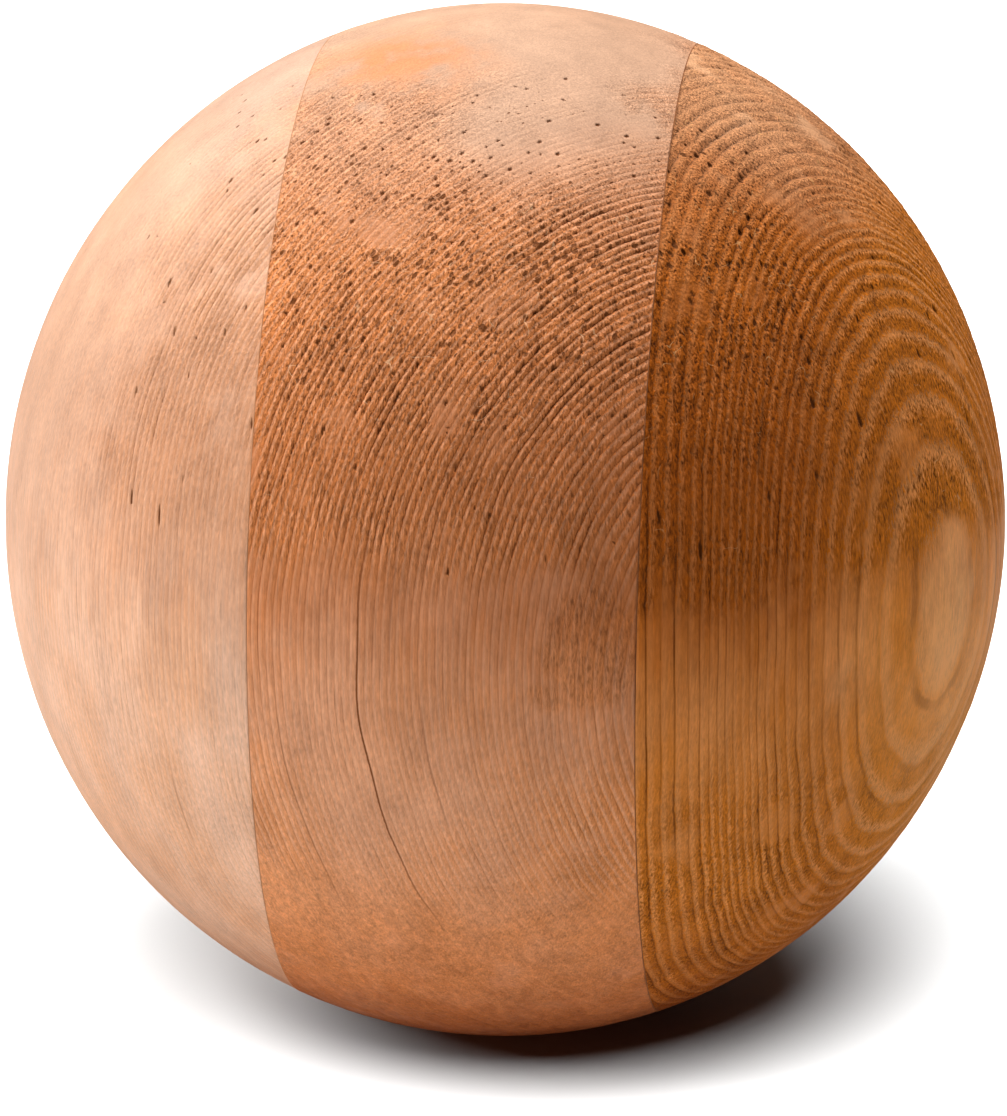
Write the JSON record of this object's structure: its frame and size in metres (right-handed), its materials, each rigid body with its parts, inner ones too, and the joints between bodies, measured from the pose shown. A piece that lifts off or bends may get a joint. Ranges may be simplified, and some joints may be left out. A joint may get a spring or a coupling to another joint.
{
  "type": "croquet ball",
  "caption": "Solid wooden ball turned from boards glued face to face, struck with a mallet so that it rolls through hoops on a lawn.",
  "frame": {"origin": "centre of the ball", "axes": "+Z along the grain of the boards, +X square to the glue lines from the left board to the right board"},
  "size_m": [0.089, 0.089, 0.0922],
  "materials": {
    "left_wood": "sanded pale softwood, oiled, satin",
    "centre_wood": "sanded pinkish brown softwood with torn end grain, satin",
    "right_wood": "sanded orange-brown softwood with raised growth rings, satin",
    "glue": "cured wood glue, stained brown at the surface"
  },
  "bodies": {
    "root": {"left_board": "left_wood", "left_glue_line": "glue", "centre_board": "centre_wood", "right_glue_line": "glue", "right_board": "right_wood"}
  },
  "joints": []
}
